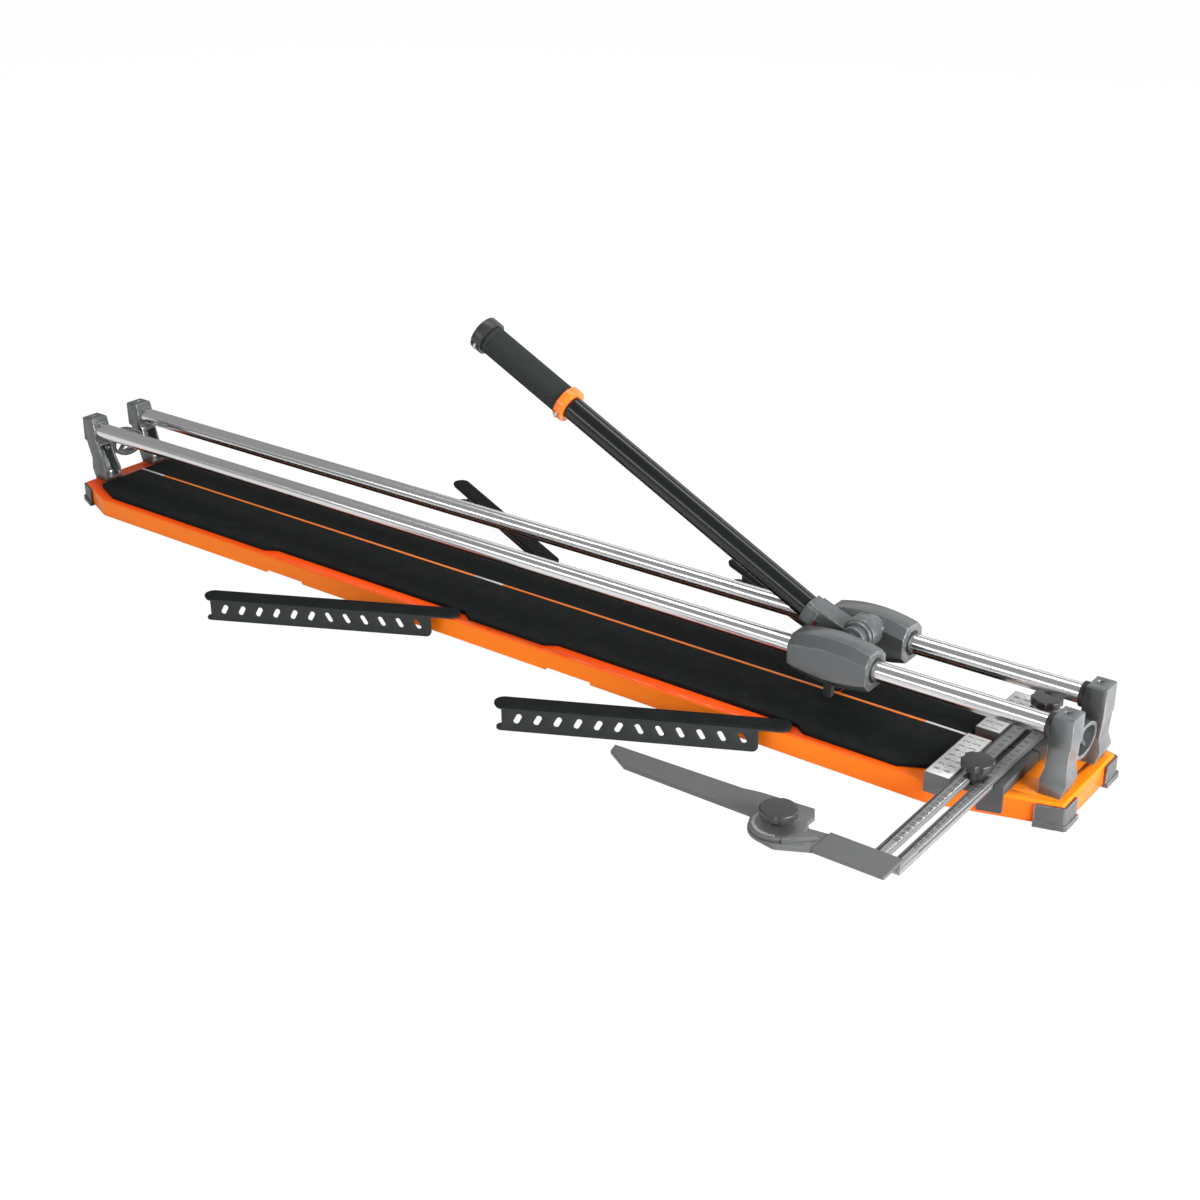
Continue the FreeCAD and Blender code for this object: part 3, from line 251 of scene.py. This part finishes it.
def makeDrawnLines():
    group, inside, outside = newGroup("drawnLines", [("AlongX", 6.0), ("AlongY", 900.0), ("AlongZ", 900.0)],
                                      ["Height", "Tone"])
    join = group.nodes.new("ShaderNodeCombineXYZ")
    for k, label in enumerate(("AlongX", "AlongY", "AlongZ")):
        group.links.new(inside.outputs[label], join.inputs[k])
    stretch = group.nodes.new("ShaderNodeVectorMath")
    stretch.operation = "MULTIPLY"
    group.links.new(objectPoint(group), stretch.inputs[0])
    group.links.new(join.outputs[0], stretch.inputs[1])
    lines = noiseNode(group, stretch.outputs["Vector"], 1.0, lineNumbers["detail"], lineNumbers["grit"])
    group.links.new(lines, outside.inputs["Height"])
    group.links.new(lines, outside.inputs["Tone"])
    return group


effects = {
    "edgeWearAndHighlight": makeEdgeWearAndHighlight(),
    "fineGrain": makeFineGrain(),
    "settledDust": makeSettledDust(),
    "drawnLines": makeDrawnLines(),
}


# finishes
def useEffect(tree, name, **values):
    node = tree.nodes.new("ShaderNodeGroup")
    node.node_tree = effects[name]
    for label, value in values.items():
        node.inputs[label].default_value = value
    return node


def mixTone(tree, share, first, second):
    node = tree.nodes.new("ShaderNodeMix")
    node.data_type = "RGBA"
    tree.links.new(share, node.inputs["Factor"])
    for socket, value in ((node.inputs["A"], first), (node.inputs["B"], second)):
        if isinstance(value, tuple):
            socket.default_value = (*value, 1)
        else:
            tree.links.new(value, socket)
    return node.outputs["Result"]


noiseSpan = (0.3, 0.7)


def spread(tree, value, low, high):
    node = tree.nodes.new("ShaderNodeMapRange")
    node.inputs["From Min"].default_value, node.inputs["From Max"].default_value = noiseSpan
    node.inputs["To Min"].default_value = low
    node.inputs["To Max"].default_value = high
    tree.links.new(value, node.inputs["Value"])
    return node.outputs["Result"]


def addBump(tree, shader, height, strength, distance):
    bump = tree.nodes.new("ShaderNodeBump")
    bump.inputs["Strength"].default_value = strength
    bump.inputs["Distance"].default_value = distance
    tree.links.new(height, bump.inputs["Height"])
    tree.links.new(bump.outputs["Normal"], shader.inputs["Normal"])


def alongShare(tree, start, end):
    split = tree.nodes.new("ShaderNodeSeparateXYZ")
    tree.links.new(objectPoint(tree), split.inputs[0])
    node = tree.nodes.new("ShaderNodeMapRange")
    node.interpolation_type = "SMOOTHSTEP"
    node.inputs["From Min"].default_value = start
    node.inputs["From Max"].default_value = end
    tree.links.new(split.outputs["X"], node.inputs["Value"])
    return node.outputs["Result"]


def makeFinish(name, look):
    material = bpy.data.materials.new(name)
    material.use_nodes = True
    tree = material.node_tree
    shader = tree.nodes["Principled BSDF"]
    shader.inputs["Metallic"].default_value = look.get("metallic", 0.0)
    shader.inputs["IOR"].default_value = look.get("ior", 1.5)
    shader.inputs["Specular IOR Level"].default_value = look.get("specular", 0.5)
    if look.get("coat"):
        shader.inputs["Coat Weight"].default_value = look["coat"]
        shader.inputs["Coat Roughness"].default_value = look.get("coatRoughness", 0.1)
    if look.get("lines"):
        alongX, alongY, alongZ = look["lines"]
        texture = useEffect(tree, "drawnLines", AlongX=alongX, AlongY=alongY, AlongZ=alongZ)
    else:
        texture = useEffect(tree, "fineGrain", Scale=look["grain"], Patches=look.get("patches", 14.0))
    tone = mixTone(tree, texture.outputs["Tone"], look["dark"], look["light"])
    # top faces take a redder tone than the walls through the upward normal: painted light, the tone difference
    # stands in for how the light falls on top and walls; walls and top turn yellower towards the front end
    if look.get("endTones"):
        start, end, wallEnd, topEnd = look["endTones"]
        share = alongShare(tree, start, end)
        tone = mixTone(tree, share, tone, wallEnd)
        tone = mixTone(tree, upwardShare(tree), tone, mixTone(tree, share, look["paintedTopLightTone"], topEnd))
    # edges mixed towards a lighter tone: partly wear, partly painted edge highlight
    if look.get("wear"):
        wear = useEffect(tree, "edgeWearAndHighlight", Width=look.get("wearWidth", 0.0006), Strength=look["wear"],
                         Breakup=look.get("wearBreakup", 70.0))
        tone = mixTone(tree, wear.outputs["Mask"], tone, look["wearTone"])
    if look.get("dust"):
        dust = useEffect(tree, "settledDust", Scale=look.get("dustScale", 30.0), Amount=look["dust"])
        tone = mixTone(tree, dust.outputs["Mask"], tone, dustTone)
    tree.links.new(tone, shader.inputs["Base Color"])
    low, high = look["roughness"]
    tree.links.new(spread(tree, texture.outputs["Tone"], low, high), shader.inputs["Roughness"])
    addBump(tree, shader, texture.outputs["Height"], look.get("bump", 0.2), look.get("bumpDepth", 0.0002))
    return material


# the wear entries lighten edges through the bevel mask: partly wear, partly painted edge highlight, strongest
# on castPaint, shoeRubber and bedPaint
looks = {
    # paintedTopLightTone: redder tone of the top faces, painted light on the one bed paint
    "bedPaint": {"dark": (0.86, 0.17, 0.004), "light": (0.93, 0.215, 0.005), "paintedTopLightTone": (0.86, 0.075, 0.003),
                 "endTones": (0.42, 0.68, (0.92, 0.13, 0.004), (0.95, 0.24, 0.006)),
                 "roughness": (0.3, 0.38), "grain": 420.0, "patches": 5.0, "bump": 0.04, "coat": 0.04,
                 "specular": 0.14, "wear": 5.0, "wearWidth": 0.0011, "wearTone": (1.0, 0.55, 0.28)},
    "blackSteel": {"dark": (0.012, 0.014, 0.014), "light": (0.02, 0.023, 0.023), "roughness": (0.45, 0.58),
                   "specular": 0.3, "grain": 1400.0, "bump": 0.18, "wear": 3.0, "wearTone": (0.12, 0.12, 0.12)},
    "castPaint": {"dark": (0.105, 0.112, 0.116), "light": (0.155, 0.164, 0.168), "roughness": (0.26, 0.36),
                  "grain": 1300.0, "bump": 0.16, "metallic": 0.5, "wear": 9.0, "wearTone": (0.62, 0.62, 0.62),
                  "wearWidth": 0.0012,
                  "dust": 0.05},
    "gaugeMetal": {"dark": (0.105, 0.108, 0.108), "light": (0.145, 0.148, 0.148), "roughness": (0.38, 0.5),
                   "grain": 1500.0, "bump": 0.15, "metallic": 0.35, "wear": 3.5,
                   "wearTone": (0.45, 0.45, 0.45)},
    "barMetal": {"dark": (0.17, 0.175, 0.175), "light": (0.27, 0.275, 0.275), "roughness": (0.34, 0.5),
                 "lines": (900.0, 8.0, 900.0), "bump": 0.1, "metallic": 0.45, "wear": 3.5,
                 "wearTone": (0.5, 0.5, 0.5)},
    "fencePaint": {"dark": (0.085, 0.087, 0.088), "light": (0.12, 0.122, 0.123), "roughness": (0.4, 0.55),
                   "grain": 1300.0, "bump": 0.2, "wear": 3.0, "wearTone": (0.3, 0.3, 0.3)},
    "guidePaint": {"dark": (0.028, 0.029, 0.03), "light": (0.045, 0.047, 0.048), "roughness": (0.42, 0.55),
                   "grain": 1300.0, "bump": 0.2, "wear": 3.0, "wearTone": (0.2, 0.2, 0.2)},
    "bedRubber": {"dark": (0.005, 0.006, 0.006), "light": (0.0125, 0.0148, 0.0148), "roughness": (0.7, 0.85),
                  "grain": 700.0, "patches": 40.0, "bump": 0.5, "bumpDepth": 0.0003, "dust": 0.015,
                  "dustScale": 60.0, "specular": 0.08},
    "shoeRubber": {"dark": (0.055, 0.057, 0.058), "light": (0.09, 0.092, 0.093), "roughness": (0.34, 0.46),
                   "grain": 1000.0, "bump": 0.2, "wear": 6.0, "wearWidth": 0.001,
                   "wearTone": (0.4, 0.41, 0.41)},
    "polishedRail": {"dark": (0.66, 0.665, 0.67), "light": (0.8, 0.805, 0.81), "roughness": (0.17, 0.23),
                     "lines": (1.2, 70.0, 70.0), "bump": 0.01, "bumpDepth": 0.00002, "metallic": 1.0},
    "brightSteel": {"dark": (0.5, 0.5, 0.5), "light": (0.72, 0.72, 0.72), "roughness": (0.2, 0.36),
                    "grain": 900.0, "bump": 0.1, "metallic": 1.0},
    "insertSteel": {"dark": (0.62, 0.62, 0.6), "light": (0.85, 0.85, 0.84), "roughness": (0.25, 0.4),
                    "lines": (12.0, 900.0, 900.0), "bump": 0.1, "metallic": 0.6},
    "tubeBlack": {"dark": (0.003, 0.004, 0.004), "light": (0.006, 0.0075, 0.0075), "roughness": (0.2, 0.26),
                  "grain": 40.0, "bump": 0.01, "coat": 0.2, "specular": 0.4},
    "gripRubber": {"dark": (0.016, 0.019, 0.019), "light": (0.028, 0.032, 0.032), "roughness": (0.6, 0.75),
                   "specular": 0.3, "grain": 1500.0, "bump": 0.3},
    "knobPlastic": {"dark": (0.018, 0.018, 0.019), "light": (0.03, 0.03, 0.031), "roughness": (0.3, 0.42),
                    "grain": 1400.0, "bump": 0.12, "wear": 2.0, "wearTone": (0.09, 0.09, 0.09)},
    "clampOrange": {"dark": (0.88, 0.16, 0.01), "light": (0.95, 0.22, 0.014), "roughness": (0.26, 0.36),
                    "grain": 500.0, "bump": 0.06, "coat": 0.3},
    "ridgeOrange": {"dark": (0.85, 0.17, 0.012), "light": (0.95, 0.24, 0.016), "roughness": (0.35, 0.5),
                    "grain": 500.0, "bump": 0.1},
    "scaleWhite": {"dark": (0.6, 0.6, 0.59), "light": (0.72, 0.72, 0.71), "roughness": (0.4, 0.5),
                   "grain": 900.0, "bump": 0.05},
    "printInk": {"dark": (0.012, 0.012, 0.012), "light": (0.03, 0.03, 0.03), "roughness": (0.5, 0.6),
                 "grain": 900.0, "bump": 0.05},
    "printWhite": {"dark": (0.65, 0.65, 0.65), "light": (0.8, 0.8, 0.8), "roughness": (0.5, 0.6),
                   "grain": 900.0, "bump": 0.05},
    "wheelCarbide": {"dark": (0.3, 0.29, 0.27), "light": (0.45, 0.44, 0.42), "roughness": (0.2, 0.32),
                     "grain": 1200.0, "bump": 0.08, "metallic": 1.0},
    "linerBlack": {"dark": (0.01, 0.01, 0.01), "light": (0.02, 0.02, 0.02), "roughness": (0.45, 0.6),
                   "grain": 900.0, "bump": 0.1},
}
finishes = {name: makeFinish(name, look) for name, look in looks.items()}
print("finishes ready:", len(finishes))


# the fixed frame's own parts
nodeFinishes = {
    "bedPaint": ["base_tray"],
    "blackSteel": ["centre_channel", "clamp_plates"] + [side + "_" + end + "_arm" for side in ("near", "far")
                                        for end in ("rear", "front")],
    "castPaint": ["rear_near_post", "rear_far_post", "front_near_post", "front_far_post", "rear_bridge",
                  "front_bridge", "near_housing", "far_housing", "lever_knuckle"],
    "gaugeMetal": ["gauge_end_plate", "stop_bracket", "stop_arm"],
    "barMetal": ["ruler_bars"],
    "fencePaint": ["near_fence", "far_fence"],
    "guidePaint": ["near_gauge_guide", "far_gauge_guide", "breaker_foot"],
    "bedRubber": ["near_pad", "far_pad", "middle_feet"] + [side + "_" + end + "_arm_pad"
                                                           for side in ("near", "far")
                                                           for end in ("rear", "front")],
    "shoeRubber": ["rear_corner_feet", "front_corner_feet"],
    "polishedRail": ["near_rail", "far_rail"],
    "brightSteel": ["post_bolts", "bridge_screws", "rail_grub_screws", "bed_screws", "gauge_rivets",
                    "arm_pivot_pins", "lever_axle", "tube_screw", "grip_screws", "wheel_pin", "breaker_screw"],
    "insertSteel": ["ridge_inserts"],
    "tubeBlack": ["handle_tube"],
    "gripRubber": ["handle_grip"],
    "knobPlastic": ["near_ruler_knob", "far_ruler_knob", "stop_knob", "grip_end_clamp"],
    "clampOrange": ["grip_collar"],
    "ridgeOrange": ["breaker_ridge"],
    "scaleWhite": ["scale_plates"],
    "wheelCarbide": ["scoring_wheel"],
    "linerBlack": ["slide_bushes", "rail_bumpers"],
}

# rounding of the sharp edges, in metres
edgeRounding = {
    "rear_near_post": 0.0014, "rear_far_post": 0.0014, "front_near_post": 0.0014, "front_far_post": 0.0014,
    "near_housing": 0.0013, "far_housing": 0.0013, "lever_knuckle": 0.0009, "rear_corner_feet": 0.0012,
    "front_corner_feet": 0.0012, "near_fence": 0.0007, "far_fence": 0.0007, "near_gauge_guide": 0.0008,
    "far_gauge_guide": 0.0008, "breaker_foot": 0.0007, "rear_bridge": 0.0006, "front_bridge": 0.0006,
    "grip_collar": 0.0006, "grip_end_clamp": 0.0008, "stop_bracket": 0.0005, "gauge_end_plate": 0.0003,
}
smoothOnly = 0.0002
weldGap = 0.00001
sharpAngle = math.radians(32)


def dressNode(name, finish):
    piece = nodes[name]
    piece.data.materials.clear()
    piece.data.materials.append(finishes[finish])
    for face in piece.data.polygons:
        face.use_smooth = True
        face.material_index = 0
    weld = piece.modifiers.new("weldPoints", "WELD")
    weld.merge_threshold = weldGap
    soften = piece.modifiers.new("softEdge", "BEVEL")
    soften.width = edgeRounding.get(name, smoothOnly)
    soften.segments = 2
    soften.limit_method = "ANGLE"
    soften.angle_limit = sharpAngle
    soften.harden_normals = True


for finish, names in nodeFinishes.items():
    for name in names:
        dressNode(name, finish)
print("nodes dressed")


# print on the scales
def addPiece(name, work, finish, body):
    mesh = bpy.data.meshes.new(name)
    work.to_mesh(mesh)
    work.free()
    piece = bpy.data.objects.new(name, mesh)
    scene.collection.objects.link(piece)
    mesh.materials.append(finishes[finish])
    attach(piece, body)
    return piece


def addTick(work, centre, size, turn=0.0):
    place = (Matrix.Translation(centre) @ Matrix.Rotation(turn, 4, "Z")
             @ Matrix.Diagonal((size[0], size[1], size[2], 1)))
    bmesh.ops.create_cube(work, size=1.0, matrix=place)


def addFigure(work, text, centre, height, turn, rise):
    curve = bpy.data.curves.new("figure", "FONT")
    curve.body = text
    curve.size = height
    curve.align_x = "CENTER"
    curve.align_y = "CENTER"
    curve.resolution_u = 3
    curve.extrude = rise / 2
    holder = bpy.data.objects.new("figure", curve)
    scene.collection.objects.link(holder)
    mesh = bpy.data.meshes.new_from_object(holder)
    mesh.transform(Matrix.Translation(centre) @ Matrix.Rotation(turn, 4, "Z"))
    work.from_mesh(mesh)
    bpy.data.objects.remove(holder)
    bpy.data.meshes.remove(mesh)


scalePrint = {
    "step": 0.0100,
    "figures": 8,
    "first": 0.0140,
    "rise": 0.00008,
    "figureHeight": 0.0084,
    "columns": (0.27, 0.72),
    "tick": (0.0034, 0.0006),
    "halfTickShare": 0.6,
    "endRoom": 0.001,
}


def printScalePlates(settings):
    low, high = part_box("scale_plates")
    width = high.x - low.x
    top = high.z + settings["rise"] / 2
    work = bmesh.new()
    for side in (-1, 1):
        for k in range(settings["figures"]):
            y = side * (settings["first"] + k * settings["step"])
            for column in settings["columns"]:
                if abs(y) + settings["figureHeight"] / 2 < high.y:
                    addFigure(work, str(k + 1), (low.x + width * column, y, top), settings["figureHeight"],
                              math.radians(90), settings["rise"])
            for half in (0, 1):
                length, thick = settings["tick"]
                if half:
                    length *= settings["halfTickShare"]
                tickY = y + side * half * settings["step"] / 2
                if abs(tickY) < high.y - settings["endRoom"]:
                    addTick(work, (low.x + width / 2, tickY, top), (length, thick, settings["rise"]))
    return addPiece("scalePrint", work, "printInk", "bed")


barPrint = {
    "minorStep": 0.0010,
    "rise": 0.00006,
    "lengths": (0.0020, 0.0032, 0.0046),
    "thick": 0.00028,
    "figureHeight": 0.0074,
    "edgeGap": 0.0006,
    "barWidth": 0.0135,
    "figureShare": 0.64,
    "unmarked": 0.036,
    "start": 0.002,
}


def printRulerBars(settings):
    low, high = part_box("ruler_bars")
    top = high.z + settings["rise"] / 2
    count = int((high.y - low.y - settings["unmarked"]) / settings["minorStep"])
    work = bmesh.new()
    for bar, edge in ((0, -1), (1, 1)):
        side = low.x if bar == 0 else high.x
        inner = side - edge * settings["edgeGap"]
        for k in range(1, count):
            y = high.y - settings["start"] - k * settings["minorStep"]
            length = settings["lengths"][2 if k % 10 == 0 else 1 if k % 5 == 0 else 0]
            addTick(work, (inner - edge * length / 2, y, top), (length, settings["thick"], settings["rise"]))
            if k % 10 == 0:
                middle = side - edge * settings["barWidth"] * settings["figureShare"]
                addFigure(work, str(k // 10), (middle, y, top), settings["figureHeight"], math.radians(90),
                          settings["rise"])
    return addPiece("barPrint", work, "printInk", "gauge")


protractorPrint = {
    "fromAngle": 172.0,
    "toAngle": 292.0,
    "step": 5.0,
    "radius": 0.0216,
    "rise": 0.00006,
    "tick": (0.0028, 0.00045),
}


def printProtractor(settings):
    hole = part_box("stop_knob")
    centre = (hole[0] + hole[1]) / 2
    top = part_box("stop_arm")[1].z + settings["rise"] / 2
    work = bmesh.new()
    angle = settings["fromAngle"]
    while angle <= settings["toAngle"]:
        turn = math.radians(angle)
        out = Vector((math.cos(turn), math.sin(turn))) * settings["radius"]
        place = (centre.x + out.x, centre.y + out.y, top)
        length, thick = settings["tick"]
        addTick(work, place, (length, thick, settings["rise"]), turn)
        angle += settings["step"]
    return addPiece("protractorPrint", work, "printWhite", "stop")


printScalePlates(scalePrint)
printRulerBars(barPrint)
printProtractor(protractorPrint)
print("scales printed")


# turned pieces: closed rings joined round an axis
handleAngle = math.radians(26.7)


def handleAxis():
    return Vector((-math.cos(handleAngle), 0, math.sin(handleAngle)))


def handleSpan(node, radius):
    low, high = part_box(node)
    length = ((high.x - low.x) - 2 * radius * math.sin(handleAngle)) / math.cos(handleAngle)
    return (low + high) / 2, length


def joinRings(work, loops):
    for first, second in zip(loops, loops[1:] + loops[:1]):
        edges = [e for loop in (first, second) for e in {e for v in loop for e in v.link_edges}
                 if all(v in loop for v in e.verts)]
        bmesh.ops.bridge_loops(work, edges=edges)
    bmesh.ops.recalc_face_normals(work, faces=work.faces)


def layAlong(work, axis, centre):
    place = Matrix.Translation(centre) @ axis.to_track_quat("Z", "Y").to_matrix().to_4x4()
    bmesh.ops.transform(work, matrix=place, verts=work.verts)


# rubber grip with fine ribs
gripShape = {
    "boxRadius": 0.016,
    "ribs": 60,
    "ribDepth": 0.00045,
    "radius": 0.0158,
    "bore": 0.0126,
    "lipRadius": 0.01595,
    "lipEdge": 0.0012,
    "lipShares": (0.5, 0.492, 0.46, 0.455),
}


def ribbedSleeve(settings):
    centre, length = handleSpan("handle_grip", settings["boxRadius"])
    work = bmesh.new()
    count = settings["ribs"] * 2
    end, shoulder, lip, rib = settings["lipShares"]
    lipRadius = settings["lipRadius"]
    half = [(end, lipRadius - settings["lipEdge"], 0), (shoulder, lipRadius, 0), (lip, lipRadius, 0),
            (rib, settings["radius"], 1)]
    rings = [(-share, radius, ribbed) for share, radius, ribbed in half] + half[::-1]
    rings += [(end, settings["bore"], 0), (-end, settings["bore"], 0)]
    loops = []
    for share, radius, ribbed in rings:
        made = bmesh.ops.create_circle(work, segments=count, radius=radius)["verts"]
        for k, point in enumerate(made):
            if ribbed and k % 2:
                point.co *= (radius - settings["ribDepth"]) / radius
            point.co.z += share * length
        loops.append(made)
    joinRings(work, loops)
    layAlong(work, handleAxis(), centre)
    sleeve = addPiece("gripSleeve", work, "gripRubber", "handle")
    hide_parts("handle_grip")
    return sleeve


ribbedSleeve(gripShape)
print("grip made")


# round bars with an even surface, so that reflections run straight along them
railShape = {
    "outer": 0.010,
    "inner": 0.0075,
    "segments": 128,
}

tubeShape = {
    "outer": 0.0125,
    "inner": 0.0105,
    "segments": 96,
}


def roundBar(name, node, settings, axis, centre, length, finish, body):
    work = bmesh.new()
    loops = []
    for radius, share in ((settings["outer"], -0.5), (settings["outer"], 0.5), (settings["inner"], 0.5),
                          (settings["inner"], -0.5)):
        made = bmesh.ops.create_circle(work, segments=settings["segments"], radius=radius)["verts"]
        for point in made:
            point.co.z += share * length
        loops.append(made)
    joinRings(work, loops)
    for face in work.faces:
        face.smooth = abs(face.normal.z) < 0.5
    for edge in work.edges:
        edge.smooth = len({face.smooth for face in edge.link_faces}) == 1
    layAlong(work, axis, centre)
    piece = addPiece(name, work, finish, body)
    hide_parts(node)
    return piece


def makeRails(settings):
    for side in ("near", "far"):
        low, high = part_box(side + "_rail")
        roundBar(side + "RailBar", side + "_rail", settings, Vector((1, 0, 0)), (low + high) / 2,
                 high.x - low.x, "polishedRail", "bed")


def makeTube(settings):
    centre, length = handleSpan("handle_tube", settings["outer"])
    roundBar("handleBar", "handle_tube", settings, handleAxis(), centre, length, "tubeBlack", "handle")


makeRails(railShape)
makeTube(tubeShape)
print("rails and tube made")
